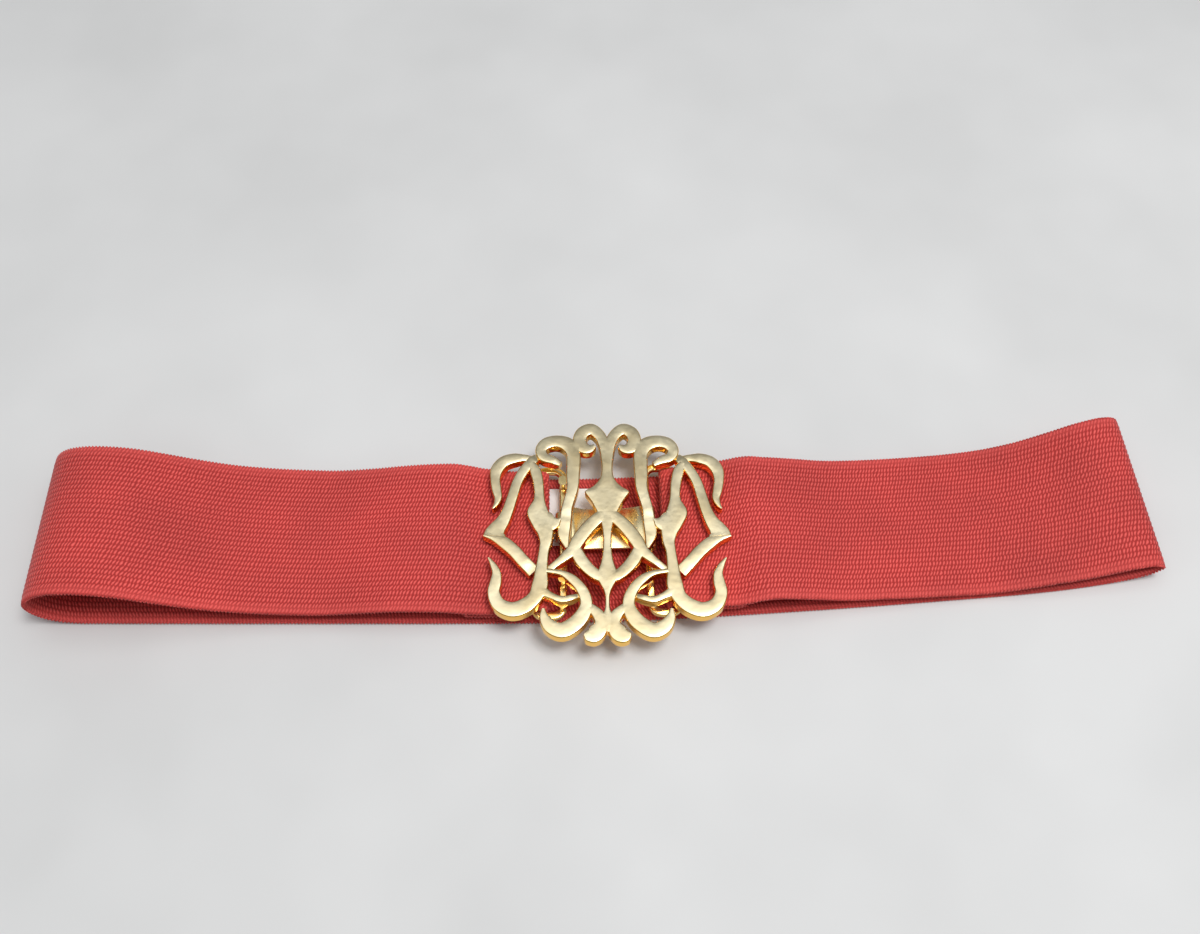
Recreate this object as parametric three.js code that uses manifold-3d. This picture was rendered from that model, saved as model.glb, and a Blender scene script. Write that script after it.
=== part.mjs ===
import * as THREE from 'three';
import { mergeVertices } from 'three/addons/utils/BufferGeometryUtils.js';
import Module from 'manifold-3d';

const wasm = await Module();
wasm.setup();

// A stretch belt, fastened and lying flat on its back layer: a wide knitted elastic, a pierced
// cast plaque with a wire ring soldered to its back, a second wire ring and a hook plate.
// Millimetres, +Z up, the belt's length along X, its width along Y.

// The elastic
const bandWidth = 51;
const bandThick = 1.6;
const bandAtRing = 48.8; // width where it is turned round a ring
const leftReach = 177; // from the measuring line behind the plaque to the left fold
const rightReach = 176;
const loopRise = 22.1; // height of the left fold, between the middles of its two layers
const sidestep = 16; // how far the right end lies off the line of the left one
const tailLeft = 42; // where the turned-back ends stop, from the measuring line
const tailRight = 44;
const seamGap = 0.3; // between a turned-back end and the elastic over it

// The rings, flat wire bent to a rectangle
const ringAcross = 11.6;
const ringWire = 2.6;
const ringThick = 1.8;
const ringCorner = 4.6;
const ringLift = 5.3; // underside above the table
const ringGap = 0.35; // between a wire and what is folded round it
const leftRingAt = -16.3;
const rightRingAt = 20;
const wrapSet = 0.4; // a turned end's middle, past the inner edge of the wire

// The plaque
const plaqueWidth = 80;
const plaqueHeight = 78;
const strokeWidth = 4;
const castThick = 3.3;
const castRim = 0.8; // rounding of the upper edges
const layerStep = 0.7; // how far a stroke sinks to pass under another
const backGap = 1.3; // between the turned elastic and the plaque's back
const postWide = 3;
const postInto = 0.8; // how far a solder post runs into the casting

// The hook plate and the label
const hookThick = 0.9;
const hookWidth = 14.5;
const hookUp = 3.8; // its middle
const labelLong = 34;
const labelWide = 20.9;
const labelThick = 0.3;
const labelAcross = -16;
const labelUp = 10.5;
const labelGap = 0.3;

const acrossSteps = 80; // the plaque is drawn on a grid of 80 steps across and 78 up
const upSteps = 78;
const plaqueAxis = 2.3; // middle line of the scrollwork, in those steps from the measuring line
const strokeStep = 2.1; // spacing of the sections along a stroke
const bandSteps = 3; // sections between two rows of the elastic's tables

const backMid = bandThick / 2;
const ringMid = ringLift + ringThick / 2;
const wrapRadius = ringThick / 2 + ringGap + bandThick / 2;
const plaqueBack = ringMid + wrapRadius + bandThick / 2 + backGap;
const ringInside = bandAtRing + 2 * ringGap;

// Run of the elastic, seen from above.
// along: share of the reach on that side; aside: share of sidestep; turn: degrees
const planRows = [
  [-1.02, -0.05, 0.8],
  [-0.85, -0.056, 0.5],
  [-0.5, -0.056, 0],
  [-0.17, -0.05, 0.6],
  [0, -0.016, 1.2],
  [0.17, 0.075, 2.2],
  [0.4, 0.247, 3.9],
  [0.61, 0.431, 4.6],
  [0.8, 0.625, 6.5],
  [1.02, 0.969, 8.3],
];

// Front layer, from the left ring round the left fold, and from the right fold to the right ring.
// along: share of the run from the ring's outer wire to the fold; rise and tilt: shares of
// loopRise, tilt being far edge less near edge
const frontLeft = [
  [0.052, 0.3, 0],
  [0.086, 0.32, 0.02],
  [0.105, 0.336, 0.04],
  [0.127, 0.375, 0.09],
  [0.162, 0.44, 0.12],
  [0.208, 0.448, 0.09],
  [0.273, 0.421, 0.03],
  [0.332, 0.362, 0],
  [0.416, 0.294, 0],
  [0.461, 0.303, 0],
  [0.52, 0.335, 0],
  [0.571, 0.38, 0],
  [0.637, 0.471, 0],
  [0.714, 0.652, 0],
  [0.771, 0.81, 0],
  [0.818, 0.928, 0],
  [0.87, 0.995, 0],
  [0.915, 1, 0],
  [0.9543, 0.93, 0],
  [0.9829, 0.78, 0],
  [0.9983, 0.58, 0],
  [0.9943, 0.35, 0],
  [0.9771, 0.17, 0],
  [0.949, 0.05, 0],
  [0.914, 0.004, 0],
  [0.863, 0, 0],
];
// Back layer. along: share of the reach on that side
const backRows = [
  [-0.7, 0, 0],
  [-0.45, 0, 0],
  [-0.2, 0, 0],
  [0, 0, 0],
  [0.2, 0, 0],
  [0.45, 0, 0],
  [0.65, 0, 0],
  [0.78, 0.002, 0],
];
const frontRight = [
  [0.824, 0.023, 0.036],
  [0.895, 0.082, 0.12],
  [0.947, 0.158, 0.18],
  [0.9813, 0.265, 0.22],
  [0.9959, 0.41, 0.27],
  [0.9824, 0.535, 0.33],
  [0.947, 0.575, 0.375],
  [0.893, 0.505, 0.33],
  [0.841, 0.389, 0.22],
  [0.774, 0.271, 0.05],
  [0.707, 0.176, 0],
  [0.627, 0.113, 0],
  [0.561, 0.117, -0.045],
  [0.501, 0.131, -0.065],
  [0.414, 0.167, -0.09],
  [0.334, 0.222, -0.077],
  [0.268, 0.335, -0.077],
  [0.194, 0.445, -0.07],
  [0.161, 0.465, 0],
  [0.135, 0.42, 0.06],
  [0.109, 0.362, 0.07],
  [0.081, 0.342, 0],
  [0.049, 0.333, 0],
  [0.016, 0.326, 0],
];

// Strokes of the left half of the plaque's scrollwork, each a list of [across, up, wide, lift]:
// across and up in steps of the grid from the measuring line, wide as a share of
// strokeWidth, lift as a share of layerStep, below 0 where a stroke passes under another
const strokes = {
  hook: [
    [-21.6, 26.2, 0.6, -1], [-25, 26.6, 0.7, -0.5], [-28, 26.3, 0.95, 0], [-31.5, 25, 1.05, 0],
    [-33.6, 22, 1.05, 0], [-34, 18.5, 0.85, 0], [-33.4, 14.5, 0.8, 0], [-32.8, 11.5, 0.65, 0],
    [-33.5, 9, 0.4, 0], [-34.4, 7.6, 0.15, 0],
  ],
  angleUpper: [
    [-20.6, 27.2, 0.7, -0.9], [-22, 25.6, 0.85, -0.3], [-24, 23, 0.86, 0], [-26.6, 18, 0.86, 0],
    [-28.2, 12, 0.9, 0], [-29.5, 7, 0.95, 0], [-31.1, 3, 1.15, 0], [-32.6, 0.6, 1.4, 0],
    [-33.3, -1, 1.65, 0], [-33.4, -2.2, 1.88, 0],
  ],
  angleLower: [
    [-36.8, -2.1, 0.15, 0], [-33.8, -2.7, 0.6, 0], [-30.8, -4, 1, 0], [-27, -7.3, 1.05, 0],
    [-24, -10.8, 1.05, -0.1], [-20.5, -14.4, 1.1, -0.9],
  ],
  trunk: [
    [-22.4, 24.5, 0.5, 0], [-21.2, 22, 0.9, 0], [-20, 17, 0.88, 0], [-19.6, 12.5, 0.85, 0],
    [-19.6, 10.3, 1.02, 0], [-19.8, 8.3, 1.45, 0], [-19.9, 6.4, 1.75, 0], [-19.2, 4.2, 1.65, 0],
    [-18.2, 2, 1.6, 0], [-17.5, 0, 1.42, 0], [-17.2, -2, 1.2, 0], [-17.1, -4, 1.02, 0],
    [-17.6, -7, 0.85, 0], [-18, -11, 0.9, 0], [-18.3, -15, 1.05, 0], [-18.6, -19, 1.3, 0],
    [-19.8, -22.8, 1.2, 0], [-23, -26, 1.3, 0], [-27, -27.3, 1.3, 0], [-31, -25.5, 1.15, 0],
    [-32.8, -21.5, 1, 0], [-32.3, -18, 0.95, 0], [-32.2, -15, 0.75, 0], [-33.5, -12, 0.5, 0],
    [-34.9, -9.8, 0.15, 0],
  ],
  spur: [
    [-18, 3, 1.9, 0], [-15.8, 2.7, 1.7, 0], [-14.3, 2.8, 1.2, 0], [-13.3, 3.3, 0.6, 0],
    [-12.6, 3.9, 0.12, 0],
  ],
  foot: [
    [-18.2, -20.9, 0.9, 0], [-15, -22.7, 0.6, 0], [-12, -23.9, 0.6, 0], [-9, -23.4, 0.55, 0],
    [-5.6, -22, 0.4, -1],
  ],
  lowerScroll: [
    [-16.6, -14.2, 0.4, 0], [-12, -15, 0.5, 0], [-9, -16.7, 0.75, 0], [-6.3, -19.5, 0.85, 0],
    [-4.7, -22.5, 0.95, 0], [-4.2, -25.5, 1, 0], [-5.3, -29, 1.2, 0], [-8, -32.2, 1.3, 0],
    [-11.7, -34.1, 1.3, 0], [-15.2, -32.6, 1.15, 0], [-17.1, -29.5, 0.75, 0], [-17.4, -27, 0.3, 0],
  ],
  arch: [
    [-13, 24.2, 0.5, -0.3], [-15.5, 25.6, 0.75, 0], [-18.6, 27, 0.9, 0], [-19.4, 29.5, 0.96, 0],
    [-17.8, 31.9, 1.1, 0], [-14.3, 32.8, 1.15, 0], [-10.7, 31.6, 1.3, 0], [-8.9, 28.5, 1.2, 0],
    [-8.7, 24, 1.15, 0], [-8.8, 20, 1.1, 0], [-8.8, 16, 1, 0], [-9.6, 12, 0.92, 0],
    [-10.6, 8, 0.9, -0.1], [-11, 4, 0.98, -0.5], [-11.5, -1, 1, -0.8], [-10.4, -6, 0.35, -1],
  ],
  topCurl: [
    [2.5, 24, 0.8, 0], [1.9, 28, 0.9, 0], [1.2, 31.8, 0.95, 0], [-0.3, 35.3, 1, 0],
    [-3, 37.5, 1.1, 0], [-5.7, 36.2, 1.15, 0], [-6.7, 33.2, 1.15, 0], [-5.6, 30.4, 1.1, 0],
    [-3.4, 29.9, 0.85, 0], [-1.8, 31, 0.4, 0],
  ],
  leg: [
    [1.8, 6.5, 0.9, 0], [-0.7, 4.2, 1.05, 0], [-3.2, 1.6, 1.12, 0], [-5.3, -1.2, 1.12, 0],
    [-7.2, -4.2, 1.1, 0], [-8.6, -7, 1, 0], [-10.5, -8.9, 0.85, 0], [-12.8, -11, 0.65, -0.1],
    [-16.6, -14, 0.6, -0.9],
  ],
  sweep: [
    [-7.6, -7.2, 1, 0], [-5.8, -10.6, 1.05, 0], [-3.6, -13.4, 1, 0], [-1, -15.6, 0.95, 0],
    [2.3, -16.8, 0.9, 0],
  ],
  lobe: [
    [-5, -24.6, 0.5, -0.5], [-2.3, -27, 0.75, 0], [-0.3, -29.3, 1, 0], [0.25, -31.5, 1, 0],
    [-0.4, -33.8, 1.35, 0], [-1.8, -35.3, 1.45, 0], [-3.3, -35.6, 1.2, 0], [-4.2, -35.4, 0.8, 0],
    [-4.7, -35.2, 0.4, 0],
  ],
};
// The upright in its middle, in the same columns
const spineRows = [
  [2.3, 27.5, 1.1, 0], [2.3, 23.5, 0.9, 0], [2.3, 20, 1, 0], [2.3, 17.6, 1.5, 0], [2.3, 15.6, 2.4, 0],
  [2.3, 13.8, 3.6, 0], [2.3, 12, 3.1, 0], [2.3, 10, 2.5, 0], [2.3, 7.5, 1.9, 0], [2.3, 4.5, 1.25, 0],
  [2.3, 1, 0.85, 0], [2.3, -3, 0.68, 0], [2.3, -7, 0.72, 0], [2.3, -11, 1, 0], [2.3, -14, 1.45, 0],
  [2.3, -16.5, 1.7, 0], [2.3, -18.5, 1.2, 0], [2.3, -21, 0.6, 0], [2.3, -24, 0.35, 0], [2.3, -27, 0.45, 0],
  [2.3, -30, 0.95, 0], [2.3, -32, 1, 0], [2.3, -34.6, 0.4, 0],
];

// Solder posts between the left ring and the plaque: share of the ring's inside length
const postRows = [0.4, -0.3, -0.475];

// Hook plate, from the leaf under the right ring's wire, round it, and on to the left ring.
// across: share of the distance from wire to wire, 0 at the right; rise: share of the
// wire's wrap height; near and far: shares of hookWidth
const hookRows = [
  [0.2, -1, -0.77, 0.35],
  [0.11, -1, -0.77, 0.35],
  [0.05, -1, -0.5, 0.5],
  [-0.04, -1, -0.5, 0.5],
  [-0.067, -0.82, -0.5, 0.5],
  [-0.08, -0.3, -0.5, 0.5],
  [-0.08, 0.3, -0.5, 0.5],
  [-0.067, 0.82, -0.5, 0.5],
  [-0.04, 1, -0.5, 0.5],
  [0.04, 1, -0.5, 0.5],
  [0.1, 0.9, -0.5, 0.5],
  [0.16, 0.6, -0.5, 0.5],
  [0.23, 0.3, -0.5, 0.5],
  [0.5, 0.25, -0.5, 0.5],
  [0.76, 0.25, -0.5, 0.5],
  [0.83, 0.5, -0.5, 0.52],
  [0.89, 0.9, -0.5, 0.52],
  [0.96, 1, -0.3, 0.4],
  [1.04, 1, -0.3, 0.4],
  [1.067, 0.82, -0.29, 0.39],
  [1.08, 0.3, -0.28, 0.38],
  [1.08, -0.2, -0.26, 0.36],
  [1.076, -0.6, -0.24, 0.34],
];

const red = new THREE.MeshStandardMaterial({ color: 0xc2403c, roughness: 0.9, metalness: 0 });
const gold = new THREE.MeshStandardMaterial({ color: 0xd9b56a, roughness: 0.25, metalness: 1 });
const brass = new THREE.MeshStandardMaterial({ color: 0xd8c070, roughness: 0.3, metalness: 1 });
const white = new THREE.MeshStandardMaterial({ color: 0xf2f0ea, roughness: 0.7, metalness: 0 });

// Value of a smooth curve through the rows of a table, at a place in its first column
function smoothAt(rows, place) {
  let k = 0;
  while (k < rows.length - 2 && place > rows[k + 1][0]) k += 1;
  const before = rows[Math.max(k - 1, 0)];
  const from = rows[k];
  const to = rows[k + 1];
  const after = rows[Math.min(k + 2, rows.length - 1)];
  const span = to[0] - from[0];
  const t = THREE.MathUtils.clamp((place - from[0]) / span, 0, 1);
  return from.map((value, column) => {
    const slopeFrom = ((to[column] - before[column]) / (to[0] - before[0])) * span;
    const slopeTo = ((after[column] - value) / (after[0] - from[0])) * span;
    const rise = to[column] - value;
    return value + t * slopeFrom + t * t * (3 * rise - 2 * slopeFrom - slopeTo)
      + t * t * t * (slopeFrom + slopeTo - 2 * rise);
  });
}

// Closed solid through a row of equal sections, with flat ends
function loft(sections) {
  const sides = sections[0].length;
  const positions = sections.flat().flatMap((point) => [point.x, point.y, point.z]);
  const faces = [];
  for (let s = 0; s < sections.length - 1; s += 1) {
    for (let k = 0; k < sides; k += 1) {
      const a = s * sides + k;
      const b = s * sides + ((k + 1) % sides);
      faces.push(a, b, b + sides, a, b + sides, a + sides);
    }
  }
  const last = (sections.length - 1) * sides;
  for (let k = 1; k < sides - 1; k += 1) {
    faces.push(0, k + 1, k, last, last + k, last + k + 1);
  }
  const geometry = new THREE.BufferGeometry();
  geometry.setAttribute('position', new THREE.Float32BufferAttribute(positions, 3));
  geometry.setIndex(faces);
  return geometry;
}

function toManifold(geometry) {
  const bare = geometry.clone();
  bare.deleteAttribute('normal');
  bare.deleteAttribute('uv');
  const merged = mergeVertices(bare, 1e-4);
  return new wasm.Manifold(new wasm.Mesh({
    numProp: 3,
    vertProperties: new Float32Array(merged.attributes.position.array),
    triVerts: new Uint32Array(merged.index.array),
  }));
}

function fromManifold(solid) {
  const mesh = solid.getMesh();
  const geometry = new THREE.BufferGeometry();
  geometry.setAttribute('position', new THREE.Float32BufferAttribute(mesh.vertProperties, 3));
  geometry.setIndex([...mesh.triVerts]);
  return geometry;
}

function namedMesh(name, geometry, material) {
  geometry.computeVertexNormals();
  const mesh = new THREE.Mesh(geometry, material);
  mesh.name = name;
  return mesh;
}

// Place in the plan of a point of the belt's length: its middle line and its turn
function planAt(x) {
  const reach = x < 0 ? leftReach : rightReach;
  const [, aside, turn] = smoothAt(planRows, x / reach);
  return { y: aside * sidestep, turn: THREE.MathUtils.degToRad(turn) };
}

function bandWidthAt(x, ringAt) {
  const gather = THREE.MathUtils.smoothstep(Math.abs(x - ringAt), ringAcross / 2, ringAcross * 1.6);
  return bandAtRing + (bandWidth - bandAtRing) * gather;
}

// Half a turn of the elastic round a ring's outer wire, from under it to over it
function wrapPoints(ringAt, side) {
  const outer = ringAt + side * ringAcross / 2;
  const centre = outer - side * (ringWire + wrapSet);
  const turned = [-1, -0.5, 0, 0.5, 1].map((share) => {
    const angle = share * Math.PI / 2;
    return [
      centre - side * wrapRadius * Math.cos(angle),
      ringMid + wrapRadius * Math.sin(angle),
      0,
    ];
  });
  return [[outer, ringMid - wrapRadius, 0], ...turned, [outer, ringMid + wrapRadius, 0]];
}

// The whole elastic: turned-back end, left ring, front, left fold, back, right fold, front,
// right ring, turned-back end
function bandGeometry() {
  const heights = (rise, tilt) => [backMid + rise * loopRise, tilt * loopRise];
  const front = (rows, ringAt, fold) => {
    const outer = ringAt + Math.sign(fold) * ringAcross / 2;
    return rows.map(([along, rise, tilt]) => [
      outer + along * (fold - outer), ...heights(rise, tilt),
    ]);
  };
  const tail = (rows, end) => {
    const under = rows.filter(([x]) => Math.abs(x) < Math.abs(end)).map(([x, z, tilt]) => [
      x, z - bandThick - seamGap, tilt,
    ]);
    const nextRow = rows[under.length];
    return [...under, [end, nextRow[1] - bandThick - seamGap, nextRow[2]]];
  };
  const left = front(frontLeft, leftRingAt, -leftReach);
  const right = front(frontRight, rightRingAt, rightReach);
  const back = backRows.map(([along, rise, tilt]) => [
    along * (along < 0 ? leftReach : rightReach), ...heights(rise, tilt),
  ]);
  const flatRight = [...right].reverse();
  const route = [
    ...tail(left, -tailLeft).reverse(),
    ...wrapPoints(leftRingAt, -1),
    ...left,
    ...back,
    ...right,
    ...wrapPoints(rightRingAt, 1).reverse(),
    ...tail(flatRight, tailRight),
  ];
  const curve = new THREE.CatmullRomCurve3(route.map((row) => new THREE.Vector3(row[0], 0, row[1])));
  const count = (route.length - 1) * bandSteps;
  const sections = [];
  for (let i = 0; i <= count; i += 1) {
    const t = i / count;
    const point = curve.getPoint(t);
    const along = curve.getTangent(t);
    const row = Math.min(Math.floor(i / bandSteps), route.length - 2);
    const part = i / bandSteps - row;
    const tilt = route[row][2] + part * (route[row + 1][2] - route[row][2]);
    const onBack = Math.abs(point.z - backMid) < bandThick;
    const ringAt = point.x < (leftRingAt + rightRingAt) / 2 ? leftRingAt : rightRingAt;
    const width = onBack ? bandWidth : bandWidthAt(point.x, ringAt);
    const { y, turn } = planAt(point.x);
    const lean = Math.asin(tilt / bandWidth);
    const heading = new THREE.Vector3(Math.cos(turn), Math.sin(turn), 0)
      .multiplyScalar(along.x).add(new THREE.Vector3(0, 0, along.z)).normalize();
    const across = new THREE.Vector3(-Math.sin(turn), Math.cos(turn), 0)
      .multiplyScalar(Math.cos(lean)).add(new THREE.Vector3(0, 0, Math.sin(lean)));
    const outward = new THREE.Vector3().crossVectors(heading, across).normalize();
    const middle = new THREE.Vector3(point.x, y, point.z);
    sections.push([[-1, -1], [1, -1], [1, 1], [-1, 1]].map(([side, face]) => (
      middle.clone().addScaledVector(across, side * width / 2)
        .addScaledVector(outward, face * bandThick / 2)
    )));
  }
  return loft(sections);
}

function roundedRectangle(path, halfX, halfY, radius) {
  path.moveTo(halfX - radius, -halfY);
  path.absarc(halfX - radius, -halfY + radius, radius, -Math.PI / 2, 0, false);
  path.absarc(halfX - radius, halfY - radius, radius, 0, Math.PI / 2, false);
  path.absarc(-halfX + radius, halfY - radius, radius, Math.PI / 2, Math.PI, false);
  path.absarc(-halfX + radius, -halfY + radius, radius, Math.PI, Math.PI * 1.5, false);
  return path;
}

function ringGeometry(ringAt) {
  const halfX = ringAcross / 2;
  const halfY = ringInside / 2 + ringWire;
  const outline = roundedRectangle(new THREE.Shape(), halfX, halfY, ringCorner);
  outline.holes.push(roundedRectangle(
    new THREE.Path(), halfX - ringWire, halfY - ringWire, ringCorner - ringWire,
  ));
  const { y, turn } = planAt(ringAt);
  return new THREE.ExtrudeGeometry(outline, { depth: ringThick, bevelEnabled: false, curveSegments: 5 })
    .rotateZ(turn).translate(ringAt, y, ringLift);
}

// One stroke of the casting: flat back, upright walls, rounded rims
function strokeGeometry(rows) {
  const cell = plaqueWidth / acrossSteps;
  const cellUp = plaqueHeight / upSteps;
  const curve = new THREE.CatmullRomCurve3(rows.map(([across, up, wide]) => (
    new THREE.Vector3(across * cell, up * cellUp, wide * strokeWidth / 2)
  )));
  const steps = Math.max(3, Math.round(curve.getLength() / strokeStep));
  const sections = [];
  for (let i = 0; i <= steps; i += 1) {
    const t = curve.getUtoTmapping(i / steps);
    const point = curve.getPoint(t);
    const tangent = curve.getTangent(t).setZ(0).normalize();
    const half = Math.max(point.z, castRim / 4);
    const row = Math.min(Math.floor(t * (rows.length - 1)), rows.length - 2);
    const part = t * (rows.length - 1) - row;
    const lift = rows[row][3] + part * (rows[row + 1][3] - rows[row][3]);
    const top = castThick + lift * layerStep;
    const inset = Math.min(castRim, half * 0.6);
    const profile = [
      [-half, 0], [half, 0], [half, top - inset],
      [half - inset, top], [-half + inset, top], [-half, top - inset],
    ];
    sections.push(profile.map(([side, height]) => new THREE.Vector3(
      point.x - side * tangent.y, point.y + side * tangent.x, plaqueBack + height,
    )));
  }
  return loft(sections);
}

function plaqueGeometry() {
  let solid = toManifold(ringGeometry(leftRingAt));
  const left = Object.values(strokes);
  const right = left.map((rows) => rows.map(([across, ...rest]) => [2 * plaqueAxis - across, ...rest]));
  for (const rows of [spineRows, ...left, ...right]) {
    solid = solid.add(toManifold(strokeGeometry(rows)));
  }
  const wireAt = leftRingAt + ringAcross / 2 - ringWire / 2;
  const { y, turn } = planAt(leftRingAt);
  const postTall = plaqueBack + postInto - ringMid;
  for (const share of postRows) {
    const post = new THREE.BoxGeometry(ringWire * 0.9, postWide, postTall)
      .translate(wireAt - leftRingAt, share * ringInside, ringMid + postTall / 2)
      .rotateZ(turn).translate(leftRingAt, y, 0);
    solid = solid.add(toManifold(post));
  }
  return fromManifold(solid);
}

// Where a ring's wire crosses the middle line of the hook plate; side 1 is its right wire
function wireAtHook(ringAt, side) {
  const { y, turn } = planAt(ringAt);
  const aside = side * (ringAcross - ringWire) / 2;
  const run = (hookUp - y - aside * Math.sin(turn)) / Math.cos(turn);
  return ringAt + aside * Math.cos(turn) - run * Math.sin(turn);
}

function hookGeometry() {
  const rightWire = wireAtHook(rightRingAt, -1);
  const leftWire = wireAtHook(leftRingAt, 1);
  const middle = (rightWire + leftWire) / 2;
  const wrapHigh = ringThick / 2 + ringGap + hookThick / 2;
  const curve = new THREE.CatmullRomCurve3(hookRows.map(([across, rise]) => new THREE.Vector3(
    rightWire + across * (leftWire - rightWire) - middle, 0, ringMid + rise * wrapHigh,
  )));
  const count = (hookRows.length - 1) * 2;
  const sections = [];
  for (let i = 0; i <= count; i += 1) {
    const point = curve.getPoint(i / count);
    const along = curve.getTangent(i / count);
    const row = Math.min(Math.floor(i / 2), hookRows.length - 2);
    const part = i / 2 - row;
    const near = hookRows[row][2] + part * (hookRows[row + 1][2] - hookRows[row][2]);
    const far = hookRows[row][3] + part * (hookRows[row + 1][3] - hookRows[row][3]);
    const outward = new THREE.Vector3(-along.z, 0, along.x).multiplyScalar(hookThick / 2);
    sections.push([[near, -1], [far, -1], [far, 1], [near, 1]].map(([share, face]) => (
      point.clone().add(new THREE.Vector3(0, share * hookWidth, 0)).addScaledVector(outward, face)
    )));
  }
  return loft(sections).rotateZ(planAt(middle).turn).translate(middle, hookUp, 0);
}

function labelGeometry() {
  return new THREE.BoxGeometry(labelLong, labelWide, labelThick)
    .rotateZ(planAt(labelAcross).turn)
    .translate(labelAcross, labelUp, bandThick + labelGap + labelThick / 2);
}

const belt = new THREE.Group();
belt.add(namedMesh('elastic_band', bandGeometry(), red));
belt.add(namedMesh('buckle_plaque', plaqueGeometry(), gold));
belt.add(namedMesh('clasp_ring', ringGeometry(rightRingAt), brass));
belt.add(namedMesh('clasp_hook', hookGeometry(), brass));
belt.add(namedMesh('label', labelGeometry(), white));

// The origin is under the middle of the whole belt, on the surface that it lies on
const bounds = new THREE.Box3().setFromObject(belt);
const middle = bounds.getCenter(new THREE.Vector3());
belt.position.set(-middle.x, -middle.y, -bounds.min.z);

const group = new THREE.Group();
group.add(belt);

export default group;
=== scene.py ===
import math

import bmesh
import bpy
from mathutils import Matrix, Vector


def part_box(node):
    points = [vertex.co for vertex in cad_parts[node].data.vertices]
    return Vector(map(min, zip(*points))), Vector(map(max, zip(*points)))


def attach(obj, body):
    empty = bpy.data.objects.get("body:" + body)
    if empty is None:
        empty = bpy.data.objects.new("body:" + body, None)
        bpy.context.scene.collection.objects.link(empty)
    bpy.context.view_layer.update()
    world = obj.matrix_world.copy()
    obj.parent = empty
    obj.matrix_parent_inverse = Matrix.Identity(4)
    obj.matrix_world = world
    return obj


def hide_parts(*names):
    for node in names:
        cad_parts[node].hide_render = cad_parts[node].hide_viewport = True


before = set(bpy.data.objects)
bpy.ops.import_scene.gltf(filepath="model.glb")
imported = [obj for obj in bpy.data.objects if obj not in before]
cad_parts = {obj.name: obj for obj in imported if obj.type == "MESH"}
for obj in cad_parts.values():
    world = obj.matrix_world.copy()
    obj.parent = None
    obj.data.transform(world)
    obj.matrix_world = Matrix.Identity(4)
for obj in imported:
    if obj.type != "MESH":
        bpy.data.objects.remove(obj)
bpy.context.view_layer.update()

# Everything below is worked out in millimetres from the middle of the clasp, and put into the
# frame's metres as each mesh is made.
mm = 0.001
label = {
    "along": 34, "wide": 20.9, "thick": 0.3, "across": -16, "up": 10.5, "gap": 0.3, "sit": 0.05,
    "cellsAcross": 34, "cellsUp": 21, "wave": 0.12, "waveAcross": 0.5, "waveUp": 0.3,
    "warp": 0.28, "weft": 0.22,
}
belt = {
    "wide": 51, "thick": 1.6, "wideAtRing": 48.8, "leftReach": 177, "rightReach": 176,
    "loopRise": 22.1, "sidestep": 16, "tailLeft": 42, "tailRight": 44, "seamGap": 0.3,
    "ribs": 30, "ribDeep": 0.2, "pointsPerRib": 4, "step": 2.4, "edgeThin": 0.2, "gatherReach": 1.6,
}
ring = {
    "across": 11.6, "wire": 2.6, "thick": 1.8, "corner": 4.6, "lift": 5.3, "gap": 0.35,
    "leftAt": -16.3, "rightAt": 20, "wrapSet": 0.4, "edge": 0.55, "edgeSteps": 3,
    "cornerSteps": 10, "longest": 3, "lengths": 8, "waver": 0.05, "waverRate": 0.35,
}
quarters = ((1, -1), (1, 1), (-1, 1), (-1, -1))  # signs of a corner, right round
backMid = belt["thick"] / 2
ringMid = ring["lift"] + ring["thick"] / 2
wrapRadius = ring["thick"] / 2 + ring["gap"] + belt["thick"] / 2
ringInside = belt["wideAtRing"] + 2 * ring["gap"]

labelLow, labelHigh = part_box("label")
labelMid = Vector((label["across"], label["up"], belt["thick"] + label["gap"] + label["thick"] / 2))
frameShift = (Vector(labelLow) + Vector(labelHigh)) / 2 - labelMid * mm


def curveSpan(points, k):
    # the four points around span k, the ends carried on straight
    before = points[k - 1] if k > 0 else points[0] * 2 - points[1]
    after = points[k + 2] if k + 2 < len(points) else points[-1] * 2 - points[-2]
    return before, points[k], points[k + 1], after


def curvePoint(points, place):
    # smooth curve through the points that doesn't overshoot where they are uneven
    k = min(int(place), len(points) - 2)
    w = place - k
    p0, p1, p2, p3 = curveSpan(points, k)
    d0, d1, d2 = ((b - a).length ** 0.5 for a, b in ((p0, p1), (p1, p2), (p2, p3)))
    d1 = max(d1, 0.01)
    d0 = d0 if d0 > 0.01 else d1
    d2 = d2 if d2 > 0.01 else d1
    m1 = ((p1 - p0) / d0 - (p2 - p0) / (d0 + d1) + (p2 - p1) / d1) * d1
    m2 = ((p2 - p1) / d1 - (p3 - p1) / (d1 + d2) + (p3 - p2) / d2) * d1
    return p1 + m1 * w + (p2 * 3 - p1 * 3 - m1 * 2 - m2) * w**2 + (p1 * 2 - p2 * 2 + m1 + m2) * w**3


def curveTangent(points, place):
    last = len(points) - 1
    low, high = max(place - 0.004, 0), min(place + 0.004, last)
    return (curvePoint(points, high) - curvePoint(points, low)).normalized()


def evenPlaces(points, step, least=1):
    # places along the curve, close to step apart, with the given points among them
    places = []
    for k in range(len(points) - 1):
        count = max(least, math.ceil((points[k + 1] - points[k]).length / step))
        places += [k + i / count for i in range(count)]
    return places + [len(points) - 1]


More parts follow.
